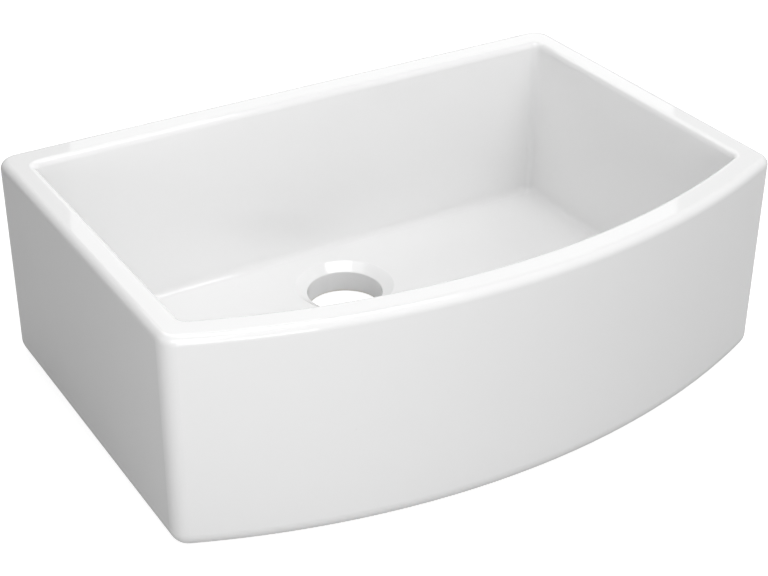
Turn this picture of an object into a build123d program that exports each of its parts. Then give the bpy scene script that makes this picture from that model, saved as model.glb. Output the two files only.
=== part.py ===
"""Farmhouse apron front sink: one fireclay casting and the glaze fired over it.

Millimetres. +Z is up, the apron faces -Y and +X is to the right of someone at the sink.
The origin is under the middle of the sink, on the plane that its foot stands on.
Sizes are those of the glazed sink. The clay under the glaze is smaller by one coat.
"""

import os

from build123d import *

# Overall sizes
WIDTH = 762.0
SIDE_DEPTH = 451.0  # back face to the corners of the apron
APRON_BOW = 82.0  # how far the middle of the apron swells past its corners
HEIGHT = 254.0

# Walls
SIDE_WALL = 33.0
BACK_WALL = 39.0
APRON_WALL = 36.5

# Outside edges
FRONT_CORNER_R = 21.5
BACK_CORNER_R = 24.0
RIM_OUTER_R = 9.5
FOOT_EDGE_R = 20.0

# Bowl
RIM_INNER_R = 8.0
BOWL_CORNER_R = 10.0
BOWL_FLOOR_R = 9.0
FLOOR_HEIGHT = 37.5

# Drain
DRAIN_R = 47.0
DRAIN_TO_BACK = 133.5  # drain's axis to the back face
DRAIN_EDGE_R = 2.0
DRAIN_FOOT_BEVEL = 1.2
RECESS_WIDTH = 14.5  # the cone round the bore, which takes the flange of the strainer
RECESS_DEPTH = 9.0
RECESS_EDGE_R = 3.0

# Glaze
GLAZE = 1.0
FETTLE = 0.66  # bevel on the clay's covered edges, as a share of the radius it stands for
FOOT_GLAZE_LINE = 1.5  # height above the foot at which the glaze stops
BACK_LAP = 28.0  # how far it runs down the back face from the rim
CORNER_LAP = 44.0  # and in over the back face from each side
LAP_CORNER_R = 30.0

# Places that follow from the sizes
BACK_Y = (SIDE_DEPTH + APRON_BOW) / 2
APRON_R = (APRON_BOW**2 + (WIDTH / 2) ** 2) / (2 * APRON_BOW)
DRAIN_Y = BACK_Y - DRAIN_TO_BACK
FAR = 2 * (WIDTH + SIDE_DEPTH + HEIGHT)  # clear of everything


def plan(side, back, apron, front_r, back_r):
    """The sink from above, drawn in from its sides, its back face and its bowed apron."""
    strip = Pos(0, BACK_Y - back - APRON_R / 2) * Rectangle(WIDTH - 2 * side, APRON_R)
    outline = strip & Pos(0, APRON_R - BACK_Y) * Circle(APRON_R - apron)
    outline = fillet(outline.vertices().group_by(Axis.Y)[-1], back_r)
    return fillet(outline.vertices().group_by(Axis.Y)[0], front_r)


def soften(edges, radius, coat):
    """Rounds the finished edges. The clay's own are pared straight, and glaze fills them out."""
    return chamfer(edges, FETTLE * radius) if coat else fillet(edges, radius)


def ground(coat):
    """What lies under the bowl: its floor, the recess round the drain and the drain's bore."""
    bore_edge = DRAIN_R, FLOOR_HEIGHT - RECESS_DEPTH
    recess_edge = DRAIN_R + RECESS_WIDTH, FLOOR_HEIGHT
    section = Polygon((DRAIN_R, -FAR), bore_edge, recess_edge, (FAR, FLOOR_HEIGHT), (FAR, -FAR))
    if coat:
        section = offset(section, -coat, kind=Kind.INTERSECTION)
    else:
        section = fillet(section.vertices().sort_by_distance(bore_edge)[0], DRAIN_EDGE_R)
        section = fillet(section.vertices().sort_by_distance(recess_edge)[0], RECESS_EDGE_R)
    return Pos(0, DRAIN_Y) * revolve(Plane.YZ * section, Axis.Z)


def bowl(coat):
    """The space inside the walls, down through the drain."""
    corner_r = BOWL_CORNER_R + coat
    walls = plan(SIDE_WALL - coat, BACK_WALL - coat, APRON_WALL - coat, corner_r, corner_r)
    space = extrude(walls, FAR, both=True) - ground(coat)
    floor = space.faces().filter_by(Axis.Z).sort_by(Axis.Z)[-2]
    return soften(floor.outer_wire().edges(), BOWL_FLOOR_R + coat, coat)


def sink(coat):
    """The whole sink as one solid, with its surface this far under the finished one."""
    foot_z = coat - GLAZE
    outside = plan(coat, coat, coat, FRONT_CORNER_R - coat, BACK_CORNER_R - coat)
    block = Pos(0, 0, foot_z) * extrude(outside, HEIGHT - coat - foot_z)
    foot = block.faces().sort_by(Axis.Z)[0]
    block = fillet(foot.outer_wire().edges(), FOOT_EDGE_R - coat)
    block -= bowl(coat)
    foot = block.faces().sort_by(Axis.Z)[0]
    block = chamfer(foot.inner_wires()[0].edges(), DRAIN_FOOT_BEVEL)
    rim = block.faces().sort_by(Axis.Z)[-1]
    block = soften(rim.outer_wire().edges(), RIM_OUTER_R - coat, coat)
    rim = block.faces().sort_by(Axis.Z)[-1]
    return soften(rim.inner_wires()[0].edges(), RIM_INNER_R - coat, coat)


def bare_clay():
    """Where no glaze is put: the foot, and the back face below its lap from the rim."""
    foot = Pos(0, 0, FOOT_GLAZE_LINE) * extrude(Rectangle(FAR, FAR), -FAR)
    pane = Pos(0, HEIGHT - BACK_LAP - FAR / 2) * Rectangle(WIDTH - 2 * CORNER_LAP, FAR)
    pane = fillet(pane.vertices(), LAP_CORNER_R)
    back = Pos(0, BACK_Y - BACK_WALL / 2) * extrude(Plane.XZ * pane, -BACK_WALL)
    return foot + back


clay = sink(GLAZE)
glaze = sink(0) - clay - bare_clay()

os.makedirs("parts", exist_ok=True)
for name, piece in {"fireclay_body": clay, "glaze_coat": glaze}.items():
    export_step(piece, f"parts/{name}.step")
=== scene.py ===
"""Looks of a farmhouse apron front sink: raw fireclay under a white glaze, in a pale studio.

Metres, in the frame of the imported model: +Z up, the apron towards -Y, the foot on z = 0.
"""

import math

import bmesh
import bpy
from mathutils import Matrix, Vector


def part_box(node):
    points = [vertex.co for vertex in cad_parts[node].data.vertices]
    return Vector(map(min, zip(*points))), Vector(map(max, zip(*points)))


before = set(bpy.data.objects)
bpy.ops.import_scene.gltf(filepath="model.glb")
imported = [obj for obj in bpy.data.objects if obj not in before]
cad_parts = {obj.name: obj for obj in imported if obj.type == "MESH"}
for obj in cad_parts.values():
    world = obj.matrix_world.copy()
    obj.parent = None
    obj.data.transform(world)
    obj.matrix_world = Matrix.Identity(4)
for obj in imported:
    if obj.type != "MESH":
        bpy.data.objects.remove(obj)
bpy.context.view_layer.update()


# The casting: one lump of buff fireclay with crushed grog in it, slip cast in plaster and fired.
# It is bare on the foot, which was rubbed flat, and on the pane of the back face that no glaze
# reaches, where a wet sponge was drawn across it. Glaze strayed over the edge of both.

class Wire:
    """A shader socket that sums can be written with. Each operator adds its Math node."""

    def __init__(self, tree, socket=None):
        self.tree = tree
        self.socket = socket

    def plug(self, socket, value):
        """Links a wire to a socket, or sets the socket to a plain value."""
        if isinstance(value, Wire):
            self.tree.links.new(value.socket, socket)
        else:
            socket.default_value = value

    def node(self, kind, settings=None, sockets=None, output=0):
        """Any node: its settings are made first, then its sockets get their values or links."""
        made = self.tree.nodes.new(kind)
        for name, value in (settings or {}).items():
            setattr(made, name, value)
        for name, value in (sockets or {}).items():
            self.plug(made.inputs[name], value)
        return Wire(self.tree, made.outputs[output] if made.outputs else None)

    def sum(self, operation, *others):
        """A sum that starts from this value, such as the MAXIMUM of it and another."""
        terms = dict(enumerate([self, *others]))
        return self.node("ShaderNodeMath", {"operation": operation}, terms)

    def part(self, axis):
        """One of the three numbers of a vector."""
        return self.node("ShaderNodeSeparateXYZ", {}, {0: self}, "XYZ".index(axis))

    def over(self, low, high):
        """A soft step: 0 up to one value, 1 past the other."""
        sockets = {"Value": self, "From Min": low, "From Max": high}
        return self.node("ShaderNodeMapRange", {"interpolation_type": "SMOOTHSTEP"}, sockets)

    def tint(self, under, colour):
        """The colour laid over what is under it, as thick as this value."""
        return self.node("ShaderNodeMix", {"data_type": "RGBA"}, {0: self, 6: under, 7: colour}, 2)

    def stretch(self, x, y, z):
        """Places pressed together or drawn apart along each axis, to draw a pattern out."""
        return self.node("ShaderNodeVectorMath", {"operation": "MULTIPLY"}, {0: self, 1: (x, y, z)})

    def clouds(self, scale, detail, roughness=0.5, curl=0.0):
        """Soft noise about 0.5, with this many swells to the metre, curled over if asked."""
        fineness = {"Detail": detail, "Roughness": roughness, "Distortion": curl}
        return self.node("ShaderNodeTexNoise", {}, {"Vector": self, "Scale": scale, **fineness})

    def grains(self, scale, radius, share):
        """Round spots of a radius in metres, so many cells to the metre, a share of them filled."""
        sockets = {"Vector": self, "Scale": scale}
        away = self.node("ShaderNodeTexVoronoi", {}, sockets, "Distance")
        chance = self.node("ShaderNodeTexVoronoi", {}, sockets, "Color").part("X")
        spot = away.over(radius * scale, 0.6 * radius * scale)
        return spot * chance.sum("LESS_THAN", share)

    def __add__(self, other):
        return self.sum("ADD", other)

    def __sub__(self, other):
        return self.sum("SUBTRACT", other)

    def __rsub__(self, other):
        return self.node("ShaderNodeMath", {"operation": "SUBTRACT"}, {0: other, 1: self})

    def __mul__(self, other):
        return self.sum("MULTIPLY", other)

    __radd__ = __add__
    __rmul__ = __mul__


def material(name):
    """A new material with no nodes yet, and a wire to make them with."""
    made = bpy.data.materials.new(name)
    made.use_nodes = True
    made.node_tree.nodes.clear()
    return made, Wire(made.node_tree)


BACK_LAP = 0.028  # how far the glaze runs down the back face from the rim
CORNER_LAP = 0.044  # and in over the back face from each side
LAP_CORNER_R = 0.030
FOOT_GLAZE_LINE = 0.0015  # height above the foot at which the glaze stops
FOOT_EDGE_R = 0.020  # the back face rounds off by this much where it meets the foot
half_width, back_face, rim_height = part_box("glaze_coat")[1]


def past_back_edge(place):
    """How far a place on the back face lies outside the pane that is left bare."""
    across = place.part("X").sum("ABSOLUTE") - (half_width - CORNER_LAP - LAP_CORNER_R)
    up = place.part("Z") - (rim_height - BACK_LAP - LAP_CORNER_R)
    round_x = across.sum("MAXIMUM", 0.0)
    round_z = up.sum("MAXIMUM", 0.0)
    corner = (round_x * round_x + round_z * round_z).sum("SQRT")
    inside = across.sum("MAXIMUM", up)
    return corner + inside.sum("MINIMUM", 0.0) - LAP_CORNER_R


BUFF = (0.65, 0.53, 0.385, 1)
BUFF_PALE = (0.76, 0.665, 0.53, 1)
FLASHED = (0.59, 0.395, 0.235, 1)  # where the fire drew iron out of the clay, beside the glaze
IRON = (0.16, 0.085, 0.045, 1)
CHAMOTTE = (0.80, 0.73, 0.60, 1)
RUBBED = (0.72, 0.64, 0.52, 1)
STRAY_GLAZE = (0.88, 0.865, 0.83, 1)
CLAY_ROUGHNESS = 0.88
CLAY_IOR = 1.45
EDGE_BLUR = 0.002
BACK_WANDER = 0.010  # the glaze's edge strays from its line by up to half of this
FOOT_WANDER = 0.0012
FLASH_WIDTH = 0.012  # band beside the glaze on the back face
FLASH_FULL = 0.003
FLASHED_ABOVE = 0.0002  # height at which the flashed band at the foot begins
RUBBED_BELOW = 0.0006  # nothing higher than this touched the rubbing stone
RUBBED_FULL = 0.0001

bare_fireclay, wire = material("bare_fireclay")
place = wire.node("ShaderNodeTexCoord", output="Object")
wander = place.clouds(55, 3) - 0.5
foot_edge = back_face - FOOT_EDGE_R
on_back = place.part("Y").over(foot_edge - EDGE_BLUR, foot_edge + EDGE_BLUR)
edge = past_back_edge(place) + BACK_WANDER * wander
at_back_edge = on_back * edge.over(-FLASH_WIDTH, -FLASH_FULL)
bare_behind = on_back * edge.over(0.0, -2 * EDGE_BLUR)
foot_rise = place.part("Z") + FOOT_WANDER * wander
at_foot_edge = foot_rise.over(FLASHED_ABOVE, FOOT_GLAZE_LINE) * (1 - bare_behind)
beside_glaze = at_back_edge.sum("MAXIMUM", at_foot_edge)
stray_glaze = (beside_glaze * place.clouds(240, 4, 0.65)).over(0.34, 0.46)
rubbed = place.part("Z").over(RUBBED_BELOW, RUBBED_FULL)

fired = place.clouds(5, 3).over(0.35, 0.65)
grit = place.clouds(1100, 3, 0.7)
sponged = place.stretch(5, 5, 38).clouds(1, 7, 0.55, 1.2).over(0.3, 0.7)
mottled = place.clouds(28, 7, 0.68).over(0.36, 0.66)
ground = place.stretch(190, 14, 14).clouds(1, 3, 0.6)
iron_dust = place.grains(240, 0.0005, 0.20)
iron_specks = place.grains(90, 0.0009, 0.30)
pale_grog = place.grains(330, 0.0009, 0.34)
pits = place.grains(110, 0.0007, 0.20)

clay = (0.30 * fired + 0.40 * sponged + 0.45 * mottled).tint(BUFF, BUFF_PALE)
clay = (rubbed * (0.35 + 0.5 * ground)).tint(clay, RUBBED)
clay = (0.55 * beside_glaze).tint(clay, FLASHED)
clay = (0.65 * pale_grog).tint(clay, CHAMOTTE)
clay = (0.6 * iron_dust + 0.75 * iron_specks).tint(clay, IRON)
clay = (0.5 * pits + 0.16 * grit).tint(clay, IRON)
clay = (0.85 * stray_glaze).tint(clay, STRAY_GLAZE)

# Each mark's height in metres, as the Bump node reads it at a distance of 1
relief = 0.00018 * grit + 0.00060 * sponged * (1 - rubbed) + 0.00008 * ground * rubbed
relief = relief + 0.00016 * pale_grog + 0.00050 * mottled - 0.00050 * pits + 0.00025 * stray_glaze
surface = wire.node("ShaderNodeBsdfPrincipled", {}, {
    "Base Color": clay,
    "Roughness": CLAY_ROUGHNESS - 0.10 * grit - 0.55 * stray_glaze,
    "IOR": CLAY_IOR,
    "Normal": wire.node("ShaderNodeBump", {}, {"Distance": 1.0, "Height": relief}),
})
wire.node("ShaderNodeOutputMaterial", {}, {"Surface": surface})
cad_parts["fireclay_body"].data.materials[0] = bare_fireclay


# The glaze: white glass about 1 mm thick, sprayed on the dry casting and fired with it. It lies
# in faint swells, with a skin like orange peel, a few pinholes, and a thin worn end along its
# wiped edge on the back face, where the buff clay shows through. The same buff tint over its
# lowest few millimetres, at the foot and in the drain, is partly thin glaze and partly painted
# shade.

WHITE = (0.93, 0.93, 0.93, 1)
# Buff tint of thin glaze; over the lowest few millimetres, at the foot and in the drain, it is
# partly painted shade.
THIN_GLAZE_AND_SHADE = (0.80, 0.765, 0.70, 1)  # with the clay showing through it
PINHOLE = (0.55, 0.50, 0.43, 1)
GLAZE_ROUGHNESS = 0.01
GLAZE_IOR = 1.6
SKIN = 0.0006  # within this of the back face, a place is on it
WIPE_WANDER = 0.008
LINE_WANDER = 0.002
WORN_WIDTH = 0.0045  # of the thin end, at the foot and along the wiped edge
WIPED_FULL = 0.0005
LINE_FULL = 0.0018

fired_glaze, wire = material("fired_glaze")
place = wire.node("ShaderNodeTexCoord", output="Object")
wander = place.clouds(70, 3) - 0.5
on_back = place.part("Y").over(back_face - SKIN, back_face - SKIN / 3)
edge = past_back_edge(place) + WIPE_WANDER * wander
wiped = on_back * edge.over(WORN_WIDTH, WIPED_FULL)
foot_rise = place.part("Z") + LINE_WANDER * wander
# Thin along the wiped edge, and over the lowest 4.5 mm, where the tint at the foot and in the drain
# is partly painted shade.
thin_and_foot_shade = wiped.sum("MAXIMUM", foot_rise.over(WORN_WIDTH, LINE_FULL))
swells = place.clouds(7, 1)
ripples = place.clouds(26, 2)
peel = place.clouds(260, 2)
pinholes = place.grains(34, 0.00045, 0.35)
smudges = place.clouds(11, 4, 0.6).over(0.42, 0.75)

# The buff tint: thin glaze, and partly painted shade at the foot and in the drain.
glass = (0.8 * thin_and_foot_shade).tint(WHITE, THIN_GLAZE_AND_SHADE)
glass = (0.7 * pinholes).tint(glass, PINHOLE)
relief = 0.00045 * swells + 0.00004 * ripples + 0.0000035 * peel - 0.0003 * pinholes
surface = wire.node("ShaderNodeBsdfPrincipled", {}, {
    "Base Color": glass,
    "Roughness": GLAZE_ROUGHNESS + 0.03 * smudges + 0.25 * thin_and_foot_shade,
    "IOR": GLAZE_IOR,
    "Normal": wire.node("ShaderNodeBump", {}, {"Distance": 1.0, "Height": relief}),
})
wire.node("ShaderNodeOutputMaterial", {}, {"Surface": surface})
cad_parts["glaze_coat"].data.materials[0] = fired_glaze


# The studio: a pale floor that runs out to white, and softboxes round the sink. The brightest
# hang over the bowl and stand to the left of the apron. Some are kept out of the gloss, so that
# the glaze mirrors only a few small patches of light.

FLOOR_SIZE = 14.0
FLOOR_GREY = (0.4, 0.4, 0.4, 1)
FLOOR_GLOW = 0.85  # lifts the floor to white where it is seen
GLOW_IN_GLOSS = 0.36  # share of it that the glaze mirrors
ROOM_LIGHT = 0.15
ROOM_SEEN = 1.0  # white

floor_mesh = bpy.data.meshes.new("studio_floor")
plate = bmesh.new()
bmesh.ops.create_grid(plate, x_segments=1, y_segments=1, size=FLOOR_SIZE / 2)
plate.to_mesh(floor_mesh)
plate.free()
floor = bpy.data.objects.new("studio_floor", floor_mesh)
bpy.context.scene.collection.objects.link(floor)


def seen(wire, mirrored=1.0):
    """1 for what the camera sees, this much for what gloss mirrors, 0 for all other light."""
    path = "ShaderNodeLightPath"
    by_camera = wire.node(path, output="Is Camera Ray")
    through_glass = wire.node(path, output="Is Transmission Ray")
    return by_camera + through_glass + mirrored * wire.node(path, output="Is Glossy Ray")


floor_paint, wire = material("floor_paint")
grey = wire.node("ShaderNodeBsdfDiffuse", {}, {"Color": FLOOR_GREY})
glow = wire.node("ShaderNodeEmission", {}, {"Strength": FLOOR_GLOW})
lifted = wire.node("ShaderNodeAddShader", {}, {0: grey, 1: glow})
paint = wire.node("ShaderNodeMixShader", {}, {0: seen(wire, GLOW_IN_GLOSS), 1: grey, 2: lifted})
wire.node("ShaderNodeOutputMaterial", {}, {"Surface": paint})
floor_mesh.materials.append(floor_paint)

world = bpy.data.worlds.new("studio")
bpy.context.scene.world = world
world.use_nodes = True
world.node_tree.nodes.clear()
wire = Wire(world.node_tree)
room = wire.node("ShaderNodeBackground", {}, {"Strength": ROOM_LIGHT})
white = wire.node("ShaderNodeBackground", {}, {"Strength": ROOM_SEEN})
shown = wire.node("ShaderNodeMixShader", {}, {0: seen(wire), 1: room, 2: white})
wire.node("ShaderNodeOutputWorld", {}, {"Surface": shown})

SINK_MIDDLE = Vector((0, 0, 0.12))


def softbox(name, place, width, height, brightness, mirrored=True, aim=SINK_MIDDLE):
    """An area lamp turned to a point. The camera never sees it, and the gloss does if asked."""
    lamp = bpy.data.lights.new(name, "AREA")
    lamp.shape = "RECTANGLE"
    lamp.size = width
    lamp.size_y = height
    lamp.energy = math.pi * width * height * brightness
    made = bpy.data.objects.new(name, lamp)
    bpy.context.scene.collection.objects.link(made)
    turn = (Vector(place) - aim).to_track_quat("Z", "Y").to_matrix().to_4x4()
    made.matrix_world = Matrix.Translation(place) @ turn
    made.visible_camera = False
    made.visible_glossy = mirrored


softbox("low_front", (-0.75, -1.75, 0.45), 0.9, 0.6, 3.05)
softbox("low_left", (-1.25, -1.25, 0.42), 0.9, 0.5, 2.8, mirrored=False)
softbox("key", (-1.0, -1.2, 1.35), 0.8, 0.8, 3.45)
softbox("front", (0.8, -3.0, 2.7), 1.6, 2.2, 2.95, mirrored=False)
softbox("overhead", (0.25, -0.02, 2.3), 1.1, 0.8, 4.2, aim=Vector((0.25, -0.02, 0)))
softbox("overhead_left", (-0.35, 0.46, 1.4), 0.42, 0.66, 1.5, aim=Vector((-0.35, 0.46, 0)))
softbox("right", (2.1, -0.5, 1.8), 1.9, 2.4, 1.42, mirrored=False)
softbox("behind", (1.13, 1.95, 1.42), 1.6, 1.3, 0.75)
softbox("behind_high", (0.2, 1.6, 2.1), 1.2, 0.8, 1.8)
softbox("low_behind", (0.35, 2.4, 0.75), 1.6, 0.9, 1.5, mirrored=False)


# The camera: a long lens to the left of the apron, high enough to look down into the bowl as far
# as the drain. It stands level but for a slight roll.

CAMERA_AZIMUTH = math.radians(-31.389)
CAMERA_ELEVATION = math.radians(30.738)
CAMERA_ROLL = math.radians(0.3)
CAMERA_DISTANCE = 1.898817
LOOKS_AT = Vector((-0.03436, -0.01719, 0.12))
SENSOR_WIDTH = 36  # millimetres, as is the focal length
FOCAL_LENGTH = 77.80

lens = bpy.data.cameras.new("camera")
lens.sensor_width = SENSOR_WIDTH
lens.lens = FOCAL_LENGTH
camera = bpy.data.objects.new("camera", lens)
bpy.context.scene.collection.objects.link(camera)
camera.matrix_world = (
    Matrix.Translation(LOOKS_AT)
    @ Matrix.Rotation(CAMERA_AZIMUTH, 4, "Z")
    @ Matrix.Rotation(math.pi / 2 - CAMERA_ELEVATION, 4, "X")
    @ Matrix.Rotation(CAMERA_ROLL, 4, "Z")
    @ Matrix.Translation((0, 0, CAMERA_DISTANCE))
)
bpy.context.scene.camera = camera
bpy.context.scene.view_settings.view_transform = "Standard"
